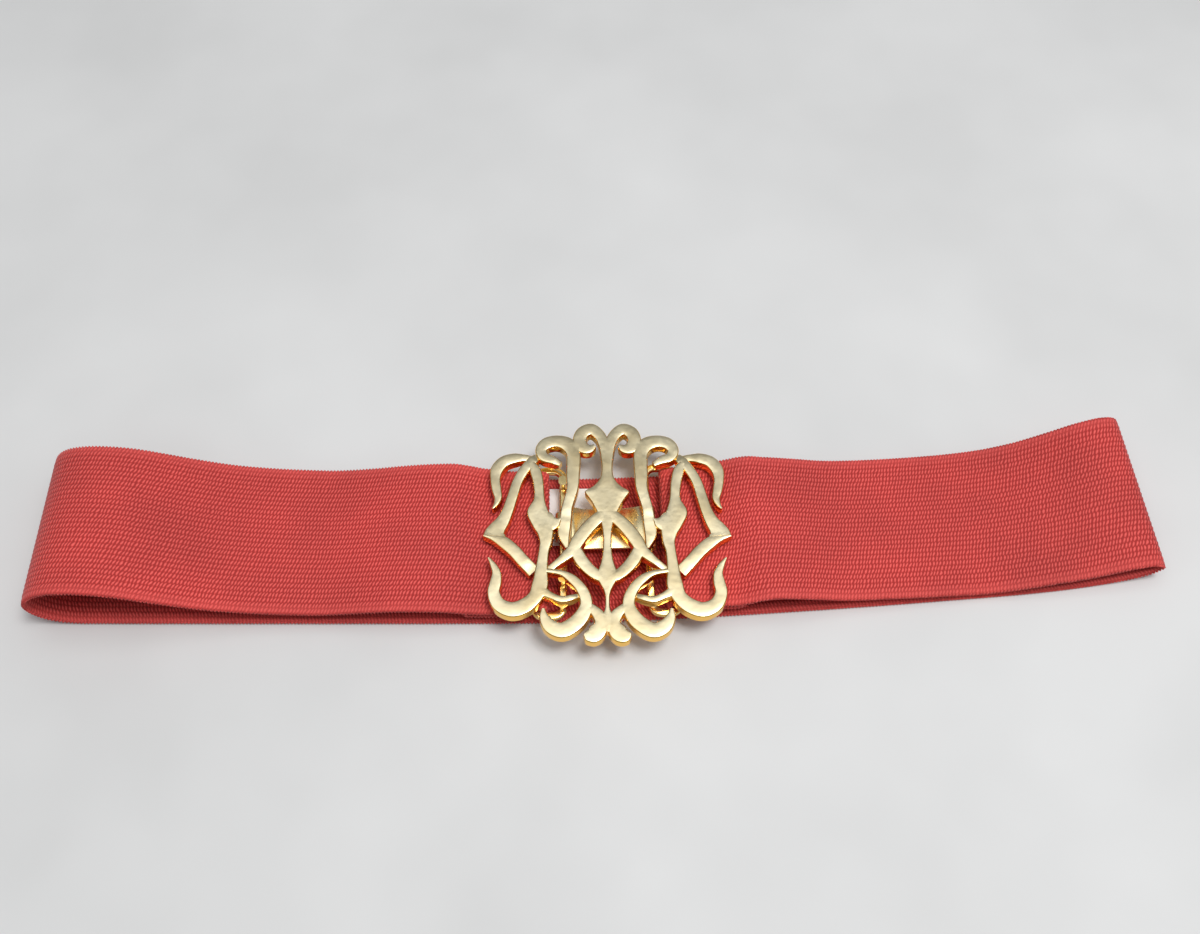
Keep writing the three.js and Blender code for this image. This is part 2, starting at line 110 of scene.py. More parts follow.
def smoothAt(rows, place):
    # value of a smooth curve through the rows of a table, at a place in its first column
    k = 0
    while k < len(rows) - 2 and place > rows[k + 1][0]:
        k += 1
    before, start = rows[max(k - 1, 0)], rows[k]
    end, after = rows[k + 1], rows[min(k + 2, len(rows) - 1)]
    span = end[0] - start[0]
    t = min(max((place - start[0]) / span, 0), 1)
    values = []
    for c in range(len(start)):
        slopeA = (end[c] - before[c]) / (end[0] - before[0]) * span
        slopeB = (after[c] - start[c]) / (after[0] - start[0]) * span
        rise = end[c] - start[c]
        values.append(start[c] + t * slopeA + t * t * (3 * rise - 2 * slopeA - slopeB)
                      + t**3 * (slopeA + slopeB - 2 * rise))
    return values


def mixAt(rows, place, column):
    k = min(int(place), len(rows) - 2)
    w = place - k
    return rows[k][column] * (1 - w) + rows[k + 1][column] * w


def smoothStep(value, low, high):
    t = min(max((value - low) / (high - low), 0), 1)
    return t * t * (3 - 2 * t)


def easeAt(rows, place, column):
    k = min(int(place), len(rows) - 2)
    return rows[k][column] + (rows[k + 1][column] - rows[k][column]) * smoothStep(place, k, k + 1)


def newPiece(name, points, faces, sharp=40, uvs=None):
    # points in millimetres from the middle of the clasp; uvs one for each point
    mesh = bpy.data.meshes.new(name)
    mesh.from_pydata([Vector(p) * mm + frameShift for p in points], [], faces)
    if uvs:
        layer = mesh.uv_layers.new(name="run")
        for loop in mesh.loops:
            layer.data[loop.index].uv = uvs[loop.vertex_index]
    work = bmesh.new()
    work.from_mesh(mesh)
    bmesh.ops.recalc_face_normals(work, faces=work.faces)
    work.to_mesh(mesh)
    work.free()
    mesh.shade_smooth()
    mesh.set_sharp_from_angle(angle=math.radians(sharp))
    piece = bpy.data.objects.new(name, mesh)
    bpy.context.scene.collection.objects.link(piece)
    return piece


def skin(sections, closed=False, capped=True):
    # faces over a row of equal rings of points
    sides, count = len(sections[0]), len(sections)
    faces = []
    for s in range(count if closed else count - 1):
        a, b = s * sides, (s + 1) % count * sides
        faces += [(a + k, a + (k + 1) % sides, b + (k + 1) % sides, b + k) for k in range(sides)]
    if capped and not closed:
        faces.append(tuple(range(sides)))
        faces.append(tuple(range((count - 1) * sides, count * sides)))
    return [p for section in sections for p in section], faces


def roundedProfile(halfWide, halfHigh, radius, steps):
    # closed outline of a bar with rounded corners
    outline = []
    for quarter, (sx, sy) in enumerate(quarters):
        for i in range(steps + 1):
            angle = math.radians(-90 + 90 * quarter + 90 * i / steps)
            outline.append((sx * (halfWide - radius) + radius * math.cos(angle),
                            sy * (halfHigh - radius) + radius * math.sin(angle)))
    return outline


def place(piece, slot, *nodes):
    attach(piece, "root")
    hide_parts(*nodes)
    return piece


def addNode(tree, kind, inputs=None, **settings):
    made = tree.nodes.new(kind)
    for name, value in settings.items():
        setattr(made, name, value)
    for name, value in (inputs or {}).items():
        if isinstance(value, bpy.types.NodeSocket):
            tree.links.new(value, made.inputs[name])
        else:
            made.inputs[name].default_value = value
    return made


def calc(tree, operation, *values):
    return addNode(tree, "ShaderNodeMath", dict(enumerate(values)), operation=operation).outputs[0]


def blendColour(tree, factor, a, b, how="MIX"):
    made = addNode(tree, "ShaderNodeMix", {0: factor, 6: a, 7: b}, data_type="RGBA", blend_type=how)
    return made.outputs[2]


def spread(tree, value, low, high, outLow=0.0, outHigh=1.0):
    made = addNode(tree, "ShaderNodeMapRange", {"Value": value, "From Min": low, "From Max": high,
                                                "To Min": outLow, "To Max": outHigh})
    return made.outputs["Result"]


def newGroup(name, takes, gives):
    group = bpy.data.node_groups.new(name, "ShaderNodeTree")
    for title, kind, start in takes:
        socket = group.interface.new_socket(title, in_out="INPUT", socket_type=kind)
        if start is not None:
            socket.default_value = start
    for title, kind in gives:
        group.interface.new_socket(title, in_out="OUTPUT", socket_type=kind)
    return group, group.nodes.new("NodeGroupInput").outputs, group.nodes.new("NodeGroupOutput").inputs


def useGroup(tree, group, inputs):
    return addNode(tree, "ShaderNodeGroup", inputs, node_tree=group).outputs


def newMaterial(name):
    material = bpy.data.materials.new(name)
    material.use_nodes = True
    tree = material.node_tree
    tree.nodes.clear()
    shader = tree.nodes.new("ShaderNodeBsdfPrincipled")
    output = tree.nodes.new("ShaderNodeOutputMaterial")
    tree.links.new(shader.outputs[0], output.inputs["Surface"])
    return material, tree, shader


# Fine unevenness of a surface: a slow one for tone, a fine one for the touch
def makeGrain():
    group, given, out = newGroup(
        "surfaceGrain",
        [("Coarse Scale", "NodeSocketFloat", 60.0), ("Fine Scale", "NodeSocketFloat", 600.0)],
        [("Tone", "NodeSocketFloat"), ("Fine", "NodeSocketFloat")],
    )
    where = addNode(group, "ShaderNodeTexCoord").outputs["Object"]
    coarse = addNode(group, "ShaderNodeTexNoise",
                     {"Vector": where, "Scale": given["Coarse Scale"], "Detail": 3.0, "Roughness": 0.55})
    fine = addNode(group, "ShaderNodeTexNoise",
                   {"Vector": where, "Scale": given["Fine Scale"], "Detail": 2.0, "Roughness": 0.6})
    group.links.new(coarse.outputs["Fac"], out["Tone"])
    group.links.new(fine.outputs["Fac"], out["Fine"])
    return group


# How far a surface looks upwards: 1 on the tops of a casting or wire, 0 on its walls. The materials use it to
# paint light on the tops and shade on the walls.
def makeUpward():
    group, given, out = newGroup(
        "upwardMask",
        [("From", "NodeSocketFloat", 0.75), ("To", "NodeSocketFloat", 0.98)],
        [("Mask", "NodeSocketFloat")],
    )
    normal = addNode(group, "ShaderNodeTexCoord").outputs["Normal"]
    up = addNode(group, "ShaderNodeSeparateXYZ", {0: normal}).outputs["Z"]
    mask = addNode(group, "ShaderNodeMapRange", {"Value": up, "From Min": given["From"],
                                                 "From Max": given["To"]}, interpolation_type="SMOOTHSTEP")
    group.links.new(mask.outputs["Result"], out["Mask"])
    return group


grain = makeGrain()
upward = makeUpward()

view = {"behind": -172.96, "above": 352.73, "down": 60, "lens": 36, "sensor": 36, "near": 0.01, "far": 20}
# at, aim and size in the frame's metres, power in watts
lights = {
    "ceiling": {"at": (0.05, 0.02, 1.2), "aim": (0.05, 0.02, 0), "size": (1.7, 1.15), "power": 6.8},
    "key": {"at": (0.3, -0.15, 1.2), "aim": (0, 0, 0), "size": (0.4, 0.4), "power": 9},
    "leftFill": {"at": (-0.9, -0.25, 0.6), "aim": (0, 0, 0), "size": (0.5, 0.5), "power": 0.6},
}
studio = {
    "sky": (0.93, 0.96, 1, 1), "strength": 0.25, "aside": 2, "near": -2, "far": 3,
    "dark": (0.60, 0.60, 0.595, 1), "pale": (0.66, 0.66, 0.655, 1), "roughness": 0.7,
}


def makeCamera():
    data = bpy.data.cameras.new("camera")
    data.lens, data.sensor_width, data.sensor_fit = view["lens"], view["sensor"], "HORIZONTAL"
    data.clip_start, data.clip_end = view["near"], view["far"]
    camera = bpy.data.objects.new("camera", data)
    camera.location = Vector((0, view["behind"], view["above"])) * mm + frameShift
    camera.rotation_euler = (math.radians(90 - view["down"]), 0, 0)
    bpy.context.scene.collection.objects.link(camera)
    bpy.context.scene.camera = camera


def areaLight(name, at, aim, size, power):
    data = bpy.data.lights.new(name, "AREA")
    data.shape, data.size, data.size_y = "RECTANGLE", size[0], size[1]
    data.energy = power
    lamp = bpy.data.objects.new(name, data)
    lamp.location = at
    lamp.rotation_euler = (Vector(aim) - Vector(at)).to_track_quat("-Z", "Y").to_euler()
    bpy.context.scene.collection.objects.link(lamp)


def makeStudio():
    scene = bpy.context.scene
    scene.view_settings.view_transform = "Standard"
    world = bpy.data.worlds.new("studio")
    world.use_nodes = True
    sky = world.node_tree.nodes["Background"]
    sky.inputs["Color"].default_value = studio["sky"]
    sky.inputs["Strength"].default_value = studio["strength"]
    scene.world = world
    for name, light in lights.items():
        areaLight(name, **light)
    aside, near, far = studio["aside"], studio["near"], studio["far"]
    mesh = bpy.data.meshes.new("floor")
    mesh.from_pydata([(-aside, near, 0), (aside, near, 0), (aside, far, 0), (-aside, far, 0)],
                     [], [(0, 1, 2, 3)])
    floor = bpy.data.objects.new("floor", mesh)
    scene.collection.objects.link(floor)
    material, tree, shader = newMaterial("paleFloor")
    tone = useGroup(tree, grain, {"Coarse Scale": 9.0, "Fine Scale": 900.0})
    tint = blendColour(tree, spread(tree, tone["Tone"], 0.35, 0.65),
                       studio["dark"], studio["pale"])
    tree.links.new(tint, shader.inputs["Base Color"])
    shader.inputs["Roughness"].default_value = studio["roughness"]
    mesh.materials.append(material)


makeCamera()
makeStudio()
print("camera, light and floor")


# Run of the belt from above. along: share of the reach on that side; aside: share of
# the sidestep; turn: degrees
planRows = [
    [-1.02, -0.05, 0.8], [-0.85, -0.056, 0.5], [-0.5, -0.056, 0], [-0.17, -0.05, 0.6],
    [0, -0.016, 1.2], [0.17, 0.075, 2.2], [0.4, 0.247, 3.9], [0.61, 0.431, 4.6],
    [0.8, 0.625, 6.5], [1.02, 0.969, 8.3],
]

# Front layer, ring to fold on the left and fold to ring on the right. along: share of the
# run from the ring to the fold; rise and tilt: shares of loopRise
frontLeft = [
    [0.052, 0.3, 0], [0.086, 0.32, 0.02], [0.105, 0.336, 0.04], [0.127, 0.375, 0.09],
    [0.162, 0.44, 0.12], [0.208, 0.448, 0.09], [0.273, 0.421, 0.03], [0.332, 0.362, 0],
    [0.416, 0.294, 0], [0.461, 0.303, 0], [0.52, 0.335, 0], [0.571, 0.38, 0],
    [0.637, 0.471, 0], [0.714, 0.652, 0], [0.771, 0.81, 0], [0.818, 0.928, 0],
    [0.87, 0.995, 0], [0.915, 1, 0], [0.9543, 0.93, 0], [0.9829, 0.78, 0],
    [0.9983, 0.58, 0], [0.9943, 0.35, 0], [0.9771, 0.17, 0], [0.949, 0.05, 0],
    [0.914, 0.004, 0], [0.863, 0, 0],
]
backRows = [
    [-0.7, 0, 0], [-0.45, 0, 0], [-0.2, 0, 0], [0, 0, 0], [0.2, 0, 0], [0.45, 0, 0],
    [0.65, 0, 0], [0.78, 0.002, 0],
]
frontRight = [
    [0.824, 0.023, 0.036], [0.895, 0.082, 0.12], [0.947, 0.158, 0.18], [0.9813, 0.265, 0.22],
    [0.9959, 0.41, 0.27], [0.9824, 0.535, 0.33], [0.947, 0.575, 0.375], [0.893, 0.505, 0.33],
    [0.841, 0.389, 0.22], [0.774, 0.271, 0.05], [0.707, 0.176, 0], [0.627, 0.113, 0],
    [0.561, 0.117, -0.045], [0.501, 0.131, -0.065], [0.414, 0.167, -0.09],
    [0.334, 0.222, -0.077], [0.268, 0.335, -0.077], [0.194, 0.445, -0.07], [0.161, 0.465, 0],
    [0.135, 0.42, 0.06], [0.109, 0.362, 0.07], [0.081, 0.342, 0], [0.049, 0.333, 0],
    [0.016, 0.326, 0],
]


def planAt(x):
    reach = belt["leftReach"] if x < 0 else belt["rightReach"]
    _, aside, turn = smoothAt(planRows, x / reach)
    return aside * belt["sidestep"], math.radians(turn)


def beltRoute():
    # rows of [x, z, tilt] from the left turned-back end, all the way round, to the right one
    def heights(row):
        return [backMid + row[1] * belt["loopRise"], row[2] * belt["loopRise"]]

    def front(rows, ringAt, fold):
        outer = ringAt + math.copysign(ring["across"] / 2, fold)
        return [[outer + row[0] * (fold - outer), *heights(row)] for row in rows]

    def tail(rows, end):
        drop = belt["thick"] + belt["seamGap"]
        under = [[x, z - drop, tilt] for x, z, tilt in rows if abs(x) < abs(end)]
        _, z, tilt = rows[len(under)]
        return under + [[end, z - drop, tilt]]

    def wrap(ringAt, side):
        outer = ringAt + side * ring["across"] / 2
        centre = outer - side * (ring["wire"] + ring["wrapSet"])
        turned = []
        for share in (-1, -0.5, 0, 0.5, 1):
            angle = share * math.pi / 2
            turned.append([centre - side * wrapRadius * math.cos(angle),
                           ringMid + wrapRadius * math.sin(angle), 0])
        return [[outer, ringMid - wrapRadius, 0], *turned, [outer, ringMid + wrapRadius, 0]]

    left = front(frontLeft, ring["leftAt"], -belt["leftReach"])
    right = front(frontRight, ring["rightAt"], belt["rightReach"])
    back = [[row[0] * (belt["leftReach"] if row[0] < 0 else belt["rightReach"]), *heights(row)]
            for row in backRows]
    return (tail(left, -belt["tailLeft"])[::-1] + wrap(ring["leftAt"], -1) + left + back + right
            + wrap(ring["rightAt"], 1)[::-1] + tail(right[::-1], belt["tailRight"]))


def beltStations(step, least):
    # along the belt: middle, direction across, direction out of the face, width, run
    rows = beltRoute()
    points = [Vector((x, 0, z)) for x, z, _ in rows]
    stations, run, last = [], 0, None
    for spot in evenPlaces(points, step, least):
        point, along = curvePoint(points, spot), curveTangent(points, spot)
        tilt = mixAt(rows, spot, 2)
        ringAt = ring["leftAt"] if point.x < (ring["leftAt"] + ring["rightAt"]) / 2 else ring["rightAt"]
        gather = smoothStep(abs(point.x - ringAt), ring["across"] / 2, ring["across"] * belt["gatherReach"])
        width = belt["wideAtRing"] + (belt["wide"] - belt["wideAtRing"]) * gather
        if abs(point.z - backMid) < belt["thick"]:
            width = belt["wide"]
        y, turn = planAt(point.x)
        lean = math.asin(tilt / belt["wide"])
        level = Vector((math.cos(turn), math.sin(turn), 0))
        heading = (level * along.x + Vector((0, 0, along.z))).normalized()
        across = Vector((-math.sin(turn) * math.cos(lean), math.cos(turn) * math.cos(lean), math.sin(lean)))
        outward = heading.cross(across).normalized()
        middle = Vector((point.x, y, point.z))
        run += (middle - last).length if last else 0
        last = middle
        stations.append((middle, across, outward, width, run))
    return stations


def makeElastic(edges):
    stations = beltStations(belt["step"], 2)
    perRib, ribs = belt["pointsPerRib"], belt["ribs"]
    groove = [1, 0.38, 0, 0.38]  # depth across one rib
    face = [(k / perRib, groove[k % perRib]) for k in range(ribs * perRib + 1)]
    sections, uvs = [], []
    for middle, across, outward, width, run in stations:
        section = []
        for side in (1, -1):
            for rib, deep in face if side == 1 else reversed(face):
                share = rib / ribs
                edge = min(share, 1 - share) * ribs
                high = belt["thick"] / 2 - belt["ribDeep"] * deep - belt["edgeThin"] * max(0, 1 - edge)
                section.append(middle + across * ((share - 0.5) * width) + outward * (side * high))
                uvs.append((run, share * belt["wide"]))
        sections.append(section)
    points, faces = skin(sections)
    piece = newPiece("elastic", points, faces, sharp=75, uvs=uvs)
    piece.data.materials.append(elasticMaterial)
    place(piece, "elastic", "elastic_band")
    print("elastic", round(stations[-1][4]), "mm long")


# groove is painted shade between the beads and bead a painted highlight on their tops; thread is the yarn's
# own red
knit = {
    "ribWide": 1.7, "stitch": 1.09, "lean": 0.6,
    "groove": (0.36, 0.018, 0.015, 1), "thread": (0.56, 0.040, 0.034, 1),
    "bead": (0.80, 0.115, 0.10, 1), "selvedge": (0.66, 0.075, 0.066, 1), "bump": 0.4, "deep": 0.00035,
    "fallAlong": 9.0, "fallAside": 3.5, "edgeFrom": 22.0, "edgeTo": 24.5, "edgeShare": 0.45,
}


# The knit's stitches: one leaning oval bead for each stitch of each rib
def makeKnit():
    group, given, out = newGroup(
        "knitStitches",
        [("Run", "NodeSocketVector", None), ("Rib Width", "NodeSocketFloat", 1.7),
         ("Stitch", "NodeSocketFloat", 1.09), ("Lean", "NodeSocketFloat", 0.6)],
        [("Bead", "NodeSocketFloat"), ("Rib", "NodeSocketFloat"), ("Thread", "NodeSocketFloat")],
    )
    part = addNode(group, "ShaderNodeSeparateXYZ", {0: given["Run"]})
    ribs = calc(group, "DIVIDE", part.outputs["Y"], given["Rib Width"])
    index = calc(group, "FLOOR", ribs)
    inRib = calc(group, "FRACT", ribs)
    wander = addNode(group, "ShaderNodeTexNoise", {"Vector": given["Run"], "Scale": 0.35, "Detail": 1.0})
    own = addNode(group, "ShaderNodeTexWhiteNoise", {"W": index}, noise_dimensions="1D").outputs["Value"]
    row = calc(group, "MULTIPLY", calc(group, "MODULO", index, 2.0), 0.5)
    start = calc(group, "ADD", row, calc(group, "MULTIPLY", own, 0.5))
    along = calc(group, "DIVIDE", part.outputs["X"], given["Stitch"])
    along = calc(group, "ADD", along, calc(group, "MULTIPLY", inRib, given["Lean"]))
    along = calc(group, "ADD", along, calc(group, "ADD", start, wander.outputs["Fac"]))
    inStitch = calc(group, "ABSOLUTE", calc(group, "SUBTRACT", calc(group, "FRACT", along), 0.5))
    aside = calc(group, "ABSOLUTE", calc(group, "SUBTRACT", inRib, 0.5))
    fall = calc(group, "ADD", calc(group, "MULTIPLY", calc(group, "POWER", inStitch, 2.0), knit["fallAlong"]),
                calc(group, "MULTIPLY", calc(group, "POWER", aside, 2.0), knit["fallAside"]))
    bead = calc(group, "SQRT", calc(group, "MAXIMUM", calc(group, "SUBTRACT", 1.0, fall), 0.0))
    group.links.new(bead, out["Bead"])
    group.links.new(calc(group, "SUBTRACT", 1.0, calc(group, "MULTIPLY", aside, 2.0)), out["Rib"])
    strand = addNode(group, "ShaderNodeTexNoise", {"Vector": given["Run"], "Scale": 3.2, "Detail": 2.0})
    group.links.new(strand.outputs["Fac"], out["Thread"])
    return group


def makeElasticMaterial():
    material, tree, shader = newMaterial("redKnit")
    run = addNode(tree, "ShaderNodeUVMap", uv_map="run").outputs[0]
    stitches = useGroup(tree, makeKnit(), {"Run": run, "Rib Width": knit["ribWide"],
                                           "Stitch": knit["stitch"], "Lean": knit["lean"]})
    tone = useGroup(tree, grain, {"Coarse Scale": 35.0, "Fine Scale": 2500.0})
    # Painted shade and highlight: the colour goes darker towards the gaps between beads and lighter on the
    # bead tops, following the bead height
    colour = blendColour(tree, spread(tree, stitches["Bead"], 0.0, 0.45), knit["groove"], knit["thread"])
    colour = blendColour(tree, spread(tree, stitches["Bead"], 0.5, 1.0), colour, knit["bead"])
    v = addNode(tree, "ShaderNodeSeparateXYZ", {0: run}).outputs["Y"]
    edge = calc(tree, "ABSOLUTE", calc(tree, "SUBTRACT", v, belt["wide"] / 2))
    edging = calc(tree, "MULTIPLY", spread(tree, edge, knit["edgeFrom"], knit["edgeTo"]), knit["edgeShare"])
    colour = blendColour(tree, edging, colour, knit["selvedge"])
    shade = spread(tree, tone["Tone"], 0.3, 0.7, 0.86, 1.08)
    shade = calc(tree, "MULTIPLY", shade, spread(tree, stitches["Thread"], 0.25, 0.75, 0.85, 1.12))
    grey = addNode(tree, "ShaderNodeCombineColor", {0: shade, 1: shade, 2: shade}).outputs[0]
    tree.links.new(blendColour(tree, 1.0, colour, grey, "MULTIPLY"), shader.inputs["Base Color"])
    height = calc(tree, "ADD", stitches["Bead"], calc(tree, "MULTIPLY", tone["Fine"], 0.25))
    bump = addNode(tree, "ShaderNodeBump",
                   {"Height": height, "Distance": knit["deep"], "Strength": knit["bump"]})
    tree.links.new(bump.outputs[0], shader.inputs["Normal"])
    shader.inputs["Roughness"].default_value = 0.82
    shader.inputs["Sheen Weight"].default_value = 0.12
    shader.inputs["Sheen Roughness"].default_value = 0.5
    shader.inputs["Sheen Tint"].default_value = (1, 0.7, 0.68, 1)
    return material


elasticMaterial = makeElasticMaterial()

selvedge = {
    "loop": 1.09, "thread": 0.3, "reach": 0.3, "high": 0.42, "segments": 6, "sides": 5, "step": 1.2,
    "inset": 0.8, "pitchShare": 6.3, "tintRow": 25,
}


def makeSelvedge(name, side):
    # thread that goes round the edge of the knit once for each stitch
    stations = beltStations(selvedge["step"], 1)
    runs = [s[4] for s in stations]
    turns = int(runs[-1] / selvedge["loop"])
    count, k, sections, uvs = turns * selvedge["segments"], 0, [], []
    for i in range(count + 1):
        run = runs[-1] * i / count
        while k < len(runs) - 2 and run > runs[k + 1]:
            k += 1
        w = (run - runs[k]) / (runs[k + 1] - runs[k])
        middle, across, outward, width = (stations[k][j] * (1 - w) + stations[k + 1][j] * w for j in range(4))
        along = (stations[k + 1][0] - stations[k][0]).normalized()
        angle = 2 * math.pi * i / selvedge["segments"]
        far = across * side
        centre = (middle + far * (width / 2 + selvedge["reach"] * math.cos(angle) * selvedge["inset"])
                  + outward * (selvedge["high"] * math.sin(angle)))
        heading = (along * (selvedge["loop"] / selvedge["pitchShare"])
                   - far * (selvedge["reach"] * math.sin(angle))
                   + outward * (selvedge["high"] * math.cos(angle))).normalized()
        a = heading.cross(far).normalized()
        b = heading.cross(a).normalized()
        section = []
        for j in range(selvedge["sides"]):
            turn = 2 * math.pi * j / selvedge["sides"]
            section.append(centre + (a * math.cos(turn) + b * math.sin(turn)) * selvedge["thread"])
            uvs.append((run, belt["wide"] / 2 + side * selvedge["tintRow"]))
        sections.append(section)
    points, faces = skin(sections)
    piece = newPiece(name, points, faces, sharp=80, uvs=uvs)
    piece.data.materials.append(elasticMaterial)
    return place(piece, "elastic", "elastic_band")


makeElastic([makeSelvedge("selvedge.near", -1), makeSelvedge("selvedge.far", 1)])


# light is the brass with painted light for its upward faces, deep the same brass with painted shade for its
# walls
wire = {"light": (0.93, 0.74, 0.36, 1), "deep": (0.83, 0.58, 0.20, 1)}


def makeWireMaterial():
    material, tree, shader = newMaterial("wireBrass")
    tone = useGroup(tree, grain, {"Coarse Scale": 160.0, "Fine Scale": 1400.0})
    # Painted light and shade: upward faces take the lighter colour and walls the deeper one, with some random
    # tone on the tops
    top = useGroup(tree, upward, {"From": 0.5, "To": 0.97})["Mask"]
    paintedTopLight = calc(tree, "MULTIPLY", top, spread(tree, tone["Tone"], 0.3, 0.7, 0.75, 1.0))
    tree.links.new(blendColour(tree, paintedTopLight, wire["deep"], wire["light"]), shader.inputs["Base Color"])
    tree.links.new(spread(tree, tone["Tone"], 0.3, 0.7, 0.17, 0.27), shader.inputs["Roughness"])
    bump = addNode(tree, "ShaderNodeBump", {"Height": tone["Tone"], "Distance": 0.0002, "Strength": 0.25})
    tree.links.new(bump.outputs[0], shader.inputs["Normal"])
    shader.inputs["Metallic"].default_value = 1
    return material


wireMaterial = makeWireMaterial()


def makeRing(name, ringAt, *nodes):
    y, turn = planAt(ringAt)
    halfX = (ring["across"] - ring["wire"]) / 2
    halfY = (ringInside + ring["wire"]) / 2
    radius = ring["corner"] - ring["wire"] / 2
    profile = roundedProfile(ring["wire"] / 2, ring["thick"] / 2, ring["edge"], ring["edgeSteps"])
    line = []  # corner points with the direction out of the ring
    for quarter, (sx, sy) in enumerate(quarters):
        for i in range(ring["cornerSteps"] + 1):
            angle = math.radians(-90 + 90 * quarter + 90 * i / ring["cornerSteps"])
            out = Vector((math.cos(angle), math.sin(angle), 0))
            line.append((Vector((sx * (halfX - radius), sy * (halfY - radius), 0)) + out * radius, out))
    full = []  # the long sides in shorter lengths, so that the wire can waver a little
    for (at, out), (nextAt, nextOut) in zip(line, line[1:] + line[:1]):
        full.append((at, out))
        if (nextAt - at).length > ring["longest"]:
            full += [(at.lerp(nextAt, i / ring["lengths"]), out) for i in range(1, ring["lengths"])]
    move = Matrix.Translation((ringAt, y, ringMid)) @ Matrix.Rotation(turn, 4, "Z")
    sections = []
    for at, out in full:
        waver = ring["waver"] * math.sin(at.y * ring["waverRate"] + ringAt)
        sections.append([move @ (at + out * (a + waver) + Vector((0, 0, b))) for a, b in profile])
    points, faces = skin(sections, closed=True)
    piece = newPiece(name, points, faces, sharp=60)
    piece.data.materials.append(wireMaterial)
    return place(piece, "wire" if name != "soldered_ring" else "plaque", *nodes)


makeRing("clasp_ring_wire", ring["rightAt"], "clasp_ring")
makeRing("soldered_ring", ring["leftAt"], "buckle_plaque")
print("rings")


plaque = {
    "wide": 80, "high": 78, "stepsAcross": 80, "stepsUp": 78, "stroke": 4, "thick": 3.3,
    "rim": 0.5, "layer": 0.7, "backGap": 1.3, "dome": 0.06, "step": 0.55,
    "postWide": 3, "postInto": 0.8, "posts": [0.4, -0.3, -0.475], "axis": 2.3,
    "leastHalf": 0.2, "rimShare": 0.6,
}
plaqueBack = ringMid + wrapRadius + belt["thick"] / 2 + plaque["backGap"]

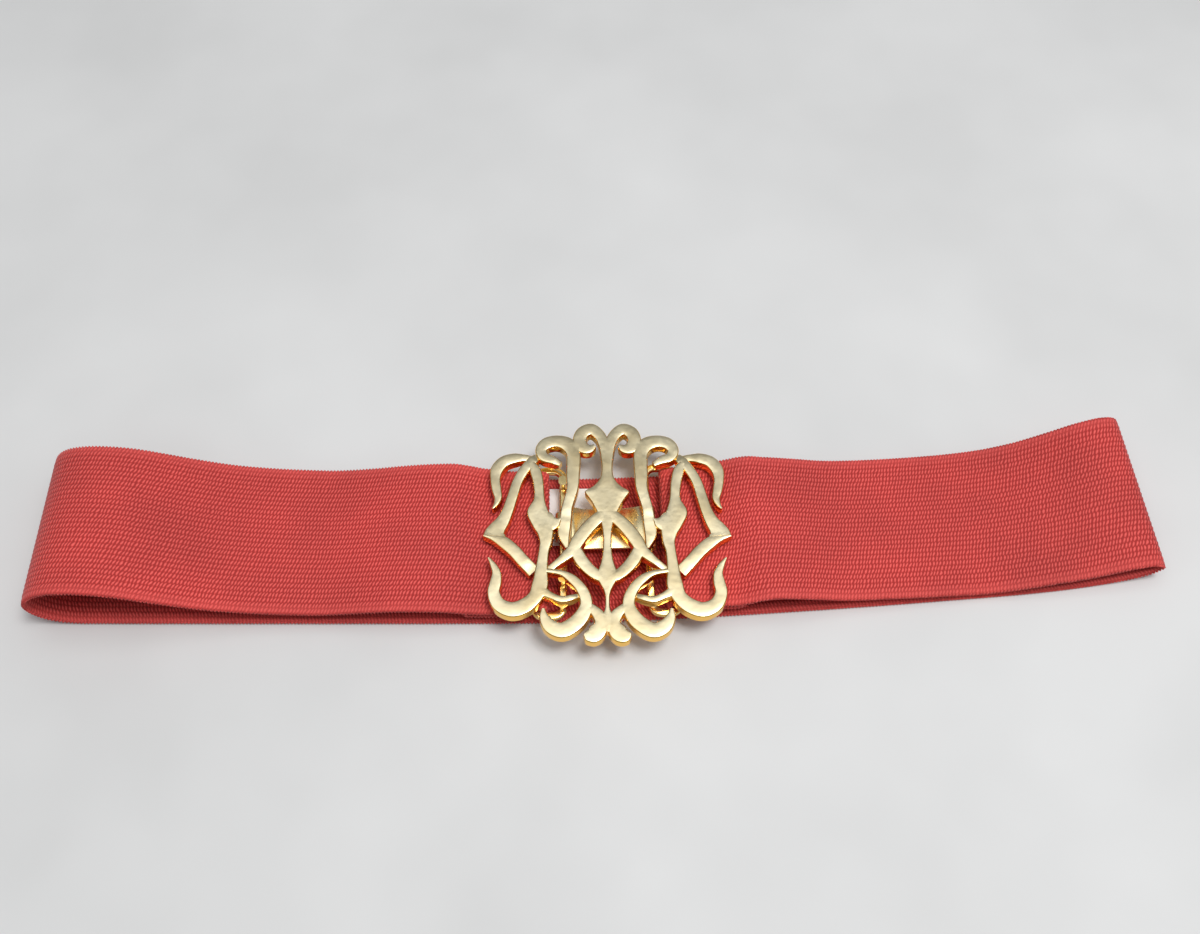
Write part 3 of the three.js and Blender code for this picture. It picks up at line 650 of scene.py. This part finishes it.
# Strokes of the left half of the scrollwork. across and up: steps of the grid from the measuring
# line; wide: share of a stroke; lift: share of a layer, below 0 where one passes under another
strokes = {
    "hook": [
        [-21.6, 26.2, 0.6, -1], [-25, 26.6, 0.7, -0.5], [-28, 26.3, 0.95, 0], [-31.5, 25, 1.05, 0],
        [-33.6, 22, 1.05, 0], [-34, 18.5, 0.85, 0], [-33.4, 14.5, 0.8, 0], [-32.8, 11.5, 0.65, 0],
        [-33.5, 9, 0.4, 0], [-34.4, 7.6, 0.15, 0],
    ],
    "angleUpper": [
        [-20.6, 27.2, 0.7, -0.9], [-22, 25.6, 0.85, -0.3], [-24, 23, 0.86, 0], [-26.6, 18, 0.86, 0],
        [-28.2, 12, 0.9, 0], [-29.5, 7, 0.95, 0], [-31.1, 3, 1.15, 0], [-32.6, 0.6, 1.4, 0],
        [-33.3, -1, 1.65, 0], [-33.4, -2.2, 1.88, 0],
    ],
    "angleLower": [
        [-36.8, -2.1, 0.15, 0], [-33.8, -2.7, 0.6, 0], [-30.8, -4, 1, 0], [-27, -7.3, 1.05, 0],
        [-24, -10.8, 1.05, -0.1], [-20.5, -14.4, 1.1, -0.9],
    ],
    "trunk": [
        [-22.4, 24.5, 0.5, 0], [-21.2, 22, 0.9, 0], [-20, 17, 0.88, 0], [-19.6, 12.5, 0.85, 0],
        [-19.6, 10.3, 1.02, 0], [-19.8, 8.3, 1.45, 0], [-19.9, 6.4, 1.75, 0], [-19.2, 4.2, 1.65, 0],
        [-18.2, 2, 1.6, 0], [-17.5, 0, 1.42, 0], [-17.2, -2, 1.2, 0], [-17.1, -4, 1.02, 0],
        [-17.6, -7, 0.85, 0], [-18, -11, 0.9, 0], [-18.3, -15, 1.05, 0], [-18.6, -19, 1.3, 0],
        [-19.8, -22.8, 1.2, 0], [-23, -26, 1.3, 0], [-27, -27.3, 1.3, 0], [-31, -25.5, 1.15, 0],
        [-32.8, -21.5, 1, 0], [-32.3, -18, 0.95, 0], [-32.2, -15, 0.75, 0], [-33.5, -12, 0.5, 0],
        [-34.9, -9.8, 0.15, 0],
    ],
    "spur": [
        [-18, 3, 1.9, 0], [-15.8, 2.7, 1.7, 0], [-14.3, 2.8, 1.2, 0], [-13.3, 3.3, 0.6, 0],
        [-12.6, 3.9, 0.12, 0],
    ],
    "foot": [
        [-18.2, -20.9, 0.9, 0], [-15, -22.7, 0.6, 0], [-12, -23.9, 0.6, 0], [-9, -23.4, 0.55, 0],
        [-5.6, -22, 0.4, -1],
    ],
    "lowerScroll": [
        [-16.6, -14.2, 0.4, 0], [-12, -15, 0.5, 0], [-9, -16.7, 0.75, 0], [-6.3, -19.5, 0.85, 0],
        [-4.7, -22.5, 0.95, 0], [-4.2, -25.5, 1, 0], [-5.3, -29, 1.2, 0], [-8, -32.2, 1.3, 0],
        [-11.7, -34.1, 1.3, 0], [-15.2, -32.6, 1.15, 0], [-17.1, -29.5, 0.75, 0], [-17.4, -27, 0.3, 0],
    ],
    "arch": [
        [-13, 24.2, 0.5, -0.3], [-15.5, 25.6, 0.75, 0], [-18.6, 27, 0.9, 0], [-19.4, 29.5, 0.96, 0],
        [-17.8, 31.9, 1.1, 0], [-14.3, 32.8, 1.15, 0], [-10.7, 31.6, 1.3, 0], [-8.9, 28.5, 1.2, 0],
        [-8.7, 24, 1.15, 0], [-8.8, 20, 1.1, 0], [-8.8, 16, 1, 0], [-9.6, 12, 0.92, 0],
        [-10.6, 8, 0.9, -0.1], [-11, 4, 0.98, -0.5], [-11.5, -1, 1, -0.8], [-10.4, -6, 0.35, -1],
    ],
    "topCurl": [
        [2.5, 24, 0.8, 0], [1.9, 28, 0.9, 0], [1.2, 31.8, 0.95, 0], [-0.3, 35.3, 1, 0],
        [-3, 37.5, 1.1, 0], [-5.7, 36.2, 1.15, 0], [-6.7, 33.2, 1.15, 0], [-5.6, 30.4, 1.1, 0],
        [-3.4, 29.9, 0.85, 0], [-1.8, 31, 0.4, 0],
    ],
    "leg": [
        [1.8, 6.5, 0.9, 0], [-0.7, 4.2, 1.05, 0], [-3.2, 1.6, 1.12, 0], [-5.3, -1.2, 1.12, 0],
        [-7.2, -4.2, 1.1, 0], [-8.6, -7, 1, 0], [-10.5, -8.9, 0.85, 0], [-12.8, -11, 0.65, -0.1],
        [-16.6, -14, 0.6, -0.9],
    ],
    "sweep": [
        [-7.6, -7.2, 1, 0], [-5.8, -10.6, 1.05, 0], [-3.6, -13.4, 1, 0], [-1, -15.6, 0.95, 0],
        [2.3, -16.8, 0.9, 0],
    ],
    "lobe": [
        [-5, -24.6, 0.5, -0.5], [-2.3, -27, 0.75, 0], [-0.3, -29.3, 1, 0], [0.25, -31.5, 1, 0],
        [-0.4, -33.8, 1.35, 0], [-1.8, -35.3, 1.45, 0], [-3.3, -35.6, 1.2, 0], [-4.2, -35.4, 0.8, 0],
        [-4.7, -35.2, 0.4, 0],
    ],
}
# The upright in its middle, on the plaque's axis, in the columns up and wide
spine = [
    [27.5, 1.1], [23.5, 0.9], [20, 1], [17.6, 1.5], [15.6, 2.4], [13.8, 3.6], [12, 3.1],
    [10, 2.5], [7.5, 1.9], [4.5, 1.25], [1, 0.85], [-3, 0.68], [-7, 0.72], [-11, 1], [-14, 1.45],
    [-16.5, 1.7], [-18.5, 1.2], [-21, 0.6], [-24, 0.35], [-27, 0.45], [-30, 0.95], [-32, 1],
    [-34.6, 0.4],
]
rimTurns = (0, 22.5, 45, 67.5)  # degrees round a stroke's upper edge


def strokeSections(rows):
    # flat back, upright walls, rounded rims and a slightly domed top
    cell, cellUp = plaque["wide"] / plaque["stepsAcross"], plaque["high"] / plaque["stepsUp"]
    points = [Vector((across * cell, up * cellUp, wide * plaque["stroke"] / 2))
              for across, up, wide, _ in rows]
    sections = []
    for spot in evenPlaces(points, plaque["step"]):
        point, along = curvePoint(points, spot), curveTangent(points, spot)
        along = Vector((along.x, along.y, 0)).normalized()
        half = max(point.z, plaque["leastHalf"])
        top = plaque["thick"] + easeAt(rows, spot, 3) * plaque["layer"]
        rim = min(plaque["rim"], half * plaque["rimShare"])
        dome = plaque["dome"] * min(1, half / 2)
        outline = [(-half, 0), (half, 0)]
        for degrees in rimTurns:
            a = math.radians(degrees)
            outline.append((half - rim + rim * math.cos(a), top - rim + rim * math.sin(a)))
        flat = half - rim
        outline += [(flat * s, top + dome * (1 - s * s)) for s in (1, 0.5, 0, -0.5, -1)]
        for degrees in reversed(rimTurns):
            a = math.radians(degrees)
            outline.append((-half + rim - rim * math.cos(a), top - rim + rim * math.sin(a)))
        sections.append([Vector((point.x - s * along.y, point.y + s * along.x, plaqueBack + h))
                         for s, h in outline])
    return sections


def joinSolids(name, pieces):
    # one casting from the separate strokes
    base = pieces[0]
    group = bpy.data.collections.new(name + ".parts")
    bpy.context.scene.collection.children.link(group)
    for piece in pieces[1:]:
        group.objects.link(piece)
    join = base.modifiers.new("join", "BOOLEAN")
    join.operation, join.operand_type, join.collection = "UNION", "COLLECTION", group
    join.solver = "MANIFOLD"
    seen = base.evaluated_get(bpy.context.evaluated_depsgraph_get())
    mesh = bpy.data.meshes.new_from_object(seen)
    mesh.name = name
    for piece in pieces:
        bpy.data.objects.remove(piece)
    bpy.data.collections.remove(group)
    joined = bpy.data.objects.new(name, mesh)
    bpy.context.scene.collection.objects.link(joined)
    return joined


# top is the satin gold with painted light from above; the wall colour is a darker amber, painted shade and
# painted reflection for the walls
casting = {
    "top": (0.93, 0.82, 0.55, 1), "tarnish": (0.72, 0.59, 0.34, 1), "paintedWallShade": (0.96, 0.57, 0.12, 1),
}


def makeCastingMaterial():
    material, tree, shader = newMaterial("castingGold")
    tone = useGroup(tree, grain, {"Coarse Scale": 70.0, "Fine Scale": 900.0})
    top = useGroup(tree, upward, {"From": 0.72, "To": 0.97})["Mask"]
    satin = blendColour(tree, spread(tree, tone["Tone"], 0.35, 0.7), casting["top"], casting["tarnish"])
    # Painted light and shade: upward faces get the pale satin colours, walls the darker amber
    tree.links.new(blendColour(tree, top, casting["paintedWallShade"], satin), shader.inputs["Base Color"])
    rough = calc(tree, "ADD", spread(tree, top, 0.0, 1.0, 0.10, 0.30),
                 spread(tree, tone["Fine"], 0.3, 0.7, -0.02, 0.04))
    tree.links.new(rough, shader.inputs["Roughness"])
    uneven = calc(tree, "ADD", tone["Tone"], calc(tree, "MULTIPLY", tone["Fine"], 0.08))
    bump = addNode(tree, "ShaderNodeBump", {"Height": uneven, "Distance": 0.0012, "Strength": 0.28})
    tree.links.new(bump.outputs[0], shader.inputs["Normal"])
    shader.inputs["Metallic"].default_value = 1
    return material


castingMaterial = makeCastingMaterial()


def makeCasting():
    runs = {"spine": [[plaque["axis"], up, wide, 0] for up, wide in spine]}
    for name, rows in strokes.items():
        runs[name + ".left"] = rows
        runs[name + ".right"] = [[2 * plaque["axis"] - row[0], *row[1:]] for row in rows]
    pieces = []
    for name, rows in runs.items():
        points, faces = skin(strokeSections(rows))
        pieces.append(newPiece(name, points, faces))
    joined = joinSolids("casting", pieces)
    joined.data.shade_smooth()
    joined.data.set_sharp_from_angle(angle=math.radians(32))
    joined.data.materials.clear()
    joined.data.materials.append(castingMaterial)
    place(joined, "plaque", "buckle_plaque")
    print("casting", len(joined.data.polygons), "faces")


post = {
    "parts": (0, 0.15, 0.25, 0.35, 0.5, 0.62, 0.72, 0.8, 1), "flare": 0.35, "power": 2.5, "share": 0.42,
    "footUnder": 0.3, "footShare": 0.45, "footMost": 0.49, "sides": 24, "square": 0.7,
}


def makePosts():
    # solder posts between the ring and the casting, wider where the solder has run
    y, turn = planAt(ring["leftAt"])
    move = Matrix.Translation((ring["leftAt"], y, 0)) @ Matrix.Rotation(turn, 4, "Z")
    wireAt = (ring["across"] - ring["wire"]) / 2
    low, high = ringMid, plaqueBack + plaque["postInto"]
    for number, share in enumerate(plaque["posts"], 1):
        centre = Vector((wireAt, share * ringInside, 0))
        sections = []
        for part in post["parts"]:
            swell = 1 + post["flare"] * abs(2 * part - 1) ** post["power"]
            halfX = ring["wire"] * post["share"] * swell
            if part < post["footUnder"]:
                halfX = min(ring["wire"] * post["footShare"] * swell, ring["wire"] * post["footMost"])
            halfY = plaque["postWide"] * post["share"] * swell
            section = []
            for i in range(post["sides"]):
                a = 2 * math.pi * i / post["sides"]
                x = math.copysign(abs(math.cos(a)) ** post["square"], math.cos(a)) * halfX
                d = math.copysign(abs(math.sin(a)) ** post["square"], math.sin(a)) * halfY
                section.append(move @ (centre + Vector((x, d, low + (high - low) * part))))
            sections.append(section)
        points, faces = skin(sections)
        piece = newPiece(f"solder_post.{number}", points, faces, sharp=50)
        piece.data.materials.append(wireMaterial)
        place(piece, "plaque", "buckle_plaque")


makeCasting()
makePosts()


hook = {
    "thick": 0.9, "wide": 14.5, "up": 3.8, "round": 0.3, "bevel": 0.09, "perRow": 6,
    "light": (0.95, 0.83, 0.50, 1), "deep": (0.86, 0.70, 0.36, 1),
}

# From the leaf under the right wire, round it, and on to the left one. across: share of the
# distance from wire to wire; rise: share of the wrap's height; near and far: shares of its width
hookRows = [
    [0.2, -1, -0.77, 0.35], [0.11, -1, -0.77, 0.35], [0.05, -1, -0.5, 0.5], [-0.04, -1, -0.5, 0.5],
    [-0.067, -0.82, -0.5, 0.5], [-0.08, -0.3, -0.5, 0.5], [-0.08, 0.3, -0.5, 0.5],
    [-0.067, 0.82, -0.5, 0.5], [-0.04, 1, -0.5, 0.5], [0.04, 1, -0.5, 0.5], [0.1, 0.9, -0.5, 0.5],
    [0.16, 0.6, -0.5, 0.5], [0.23, 0.3, -0.5, 0.5], [0.5, 0.25, -0.5, 0.5], [0.76, 0.25, -0.5, 0.5],
    [0.83, 0.5, -0.5, 0.52], [0.89, 0.9, -0.5, 0.52], [0.96, 1, -0.3, 0.4], [1.04, 1, -0.3, 0.4],
    [1.067, 0.82, -0.29, 0.39], [1.08, 0.3, -0.28, 0.38], [1.08, -0.2, -0.26, 0.36],
    [1.076, -0.6, -0.24, 0.34],
]


def wireAtHook(ringAt, side):
    y, turn = planAt(ringAt)
    aside = side * (ring["across"] - ring["wire"]) / 2
    run = (hook["up"] - y - aside * math.sin(turn)) / math.cos(turn)
    return ringAt + aside * math.cos(turn) - run * math.sin(turn)


def makeHook():
    rightWire, leftWire = wireAtHook(ring["rightAt"], -1), wireAtHook(ring["leftAt"], 1)
    middle = (rightWire + leftWire) / 2
    wrapHigh = ring["thick"] / 2 + ring["gap"] + hook["thick"] / 2
    points = [Vector((rightWire + across * (leftWire - rightWire) - middle, 0, ringMid + rise * wrapHigh))
              for across, rise, _, _ in hookRows]
    move = Matrix.Translation((middle, hook["up"], 0)) @ Matrix.Rotation(planAt(middle)[1], 4, "Z")
    half, corner, bevel = hook["thick"] / 2, hook["round"], hook["bevel"]
    sections = []
    for i in range((len(hookRows) - 1) * hook["perRow"] + 1):
        spot = i / hook["perRow"]
        point, along = curvePoint(points, spot), curveTangent(points, spot)
        near, far = (mixAt(hookRows, spot, column) * hook["wide"] for column in (2, 3))
        out = Vector((-along.z, 0, along.x))
        profile = [(near + corner, -half), (far - corner, -half), (far - bevel, -half + bevel),
                   (far, -half + corner), (far, half - corner), (far - bevel, half - bevel),
                   (far - corner, half)]
        profile += [(far - corner + (near - far + 2 * corner) * s, half) for s in (0.25, 0.5, 0.75)]
        profile += [(near + corner, half), (near + bevel, half - bevel), (near, half - corner),
                    (near, -half + corner), (near + bevel, -half + bevel)]
        sections.append([move @ (point + Vector((0, a, 0)) + out * b) for a, b in profile])
    points, faces = skin(sections)
    piece = newPiece("hook_plate", points, faces, sharp=50)
    piece.data.materials.append(hookMaterial)
    place(piece, "wire", "clasp_hook")


def makeHookMaterial():
    material, tree, shader = newMaterial("rolledBrass")
    tone = useGroup(tree, grain, {"Coarse Scale": 120.0, "Fine Scale": 1100.0})
    colour = blendColour(tree, spread(tree, tone["Tone"], 0.3, 0.7), hook["light"], hook["deep"])
    tree.links.new(colour, shader.inputs["Base Color"])
    tree.links.new(spread(tree, tone["Fine"], 0.3, 0.7, 0.24, 0.36), shader.inputs["Roughness"])
    bump = addNode(tree, "ShaderNodeBump", {"Height": tone["Tone"], "Distance": 0.0004, "Strength": 0.06})
    tree.links.new(bump.outputs[0], shader.inputs["Normal"])
    shader.inputs["Metallic"].default_value = 1
    return material


hookMaterial = makeHookMaterial()
makeHook()
print("hook plate")


def makeLabelMaterial():
    material, tree, shader = newMaterial("whiteTape")
    run = addNode(tree, "ShaderNodeUVMap", uv_map="run").outputs[0]
    part = addNode(tree, "ShaderNodeSeparateXYZ", {0: run})
    warp = calc(tree, "SINE", calc(tree, "MULTIPLY", part.outputs["X"], 2 * math.pi / label["warp"]))
    weft = calc(tree, "SINE", calc(tree, "MULTIPLY", part.outputs["Y"], 2 * math.pi / label["weft"]))
    weave = calc(tree, "MULTIPLY", calc(tree, "ADD", calc(tree, "MULTIPLY", warp, weft), 1.0), 0.5)
    tone = useGroup(tree, grain, {"Coarse Scale": 90.0, "Fine Scale": 1500.0})
    shade = calc(tree, "ADD", calc(tree, "MULTIPLY", weave, 0.25), calc(tree, "MULTIPLY", tone["Tone"], 0.5))
    colour = blendColour(tree, shade, (0.92, 0.92, 0.91, 1), (0.98, 0.98, 0.97, 1))
    tree.links.new(colour, shader.inputs["Base Color"])
    bump = addNode(tree, "ShaderNodeBump", {"Height": weave, "Distance": 0.00008, "Strength": 0.5})
    tree.links.new(bump.outputs[0], shader.inputs["Normal"])
    shader.inputs["Roughness"].default_value = 0.75
    return material


labelMaterial = makeLabelMaterial()


def makeLabel():
    turn = planAt(label["across"])[1]
    at = (label["across"], label["up"], belt["thick"] + label["sit"])
    move = Matrix.Translation(at) @ Matrix.Rotation(turn, 4, "Z")
    across, deep, wave = label["cellsAcross"], label["cellsUp"], label["wave"]
    points, uvs, faces = [], [], []
    for side in (1, 0):
        for i in range(across + 1):
            for j in range(deep + 1):
                x, y = (i / across - 0.5) * label["along"], (j / deep - 0.5) * label["wide"]
                swell = wave * math.sin(x * label["waveAcross"] + 1) * math.sin(y * label["waveUp"]) + wave
                points.append(move @ Vector((x, y, swell + side * label["thick"])))
                uvs.append((x, y))
    layer = (across + 1) * (deep + 1)
    for side, order in ((0, 1), (1, -1)):
        for i in range(across):
            for j in range(deep):
                a = side * layer + i * (deep + 1) + j
                faces.append((a, a + 1, a + deep + 2, a + deep + 1)[::order])
    rim = ([i * (deep + 1) for i in range(across)] + [across * (deep + 1) + j for j in range(deep)]
           + [i * (deep + 1) + deep for i in range(across, 0, -1)] + list(range(deep, 0, -1)))
    faces += [(a, b, b + layer, a + layer) for a, b in zip(rim, rim[1:] + rim[:1])]
    piece = newPiece("label_tape", points, faces, uvs=uvs)
    piece.data.materials.append(labelMaterial)
    place(piece, "label", "label")


makeLabel()
print("label")
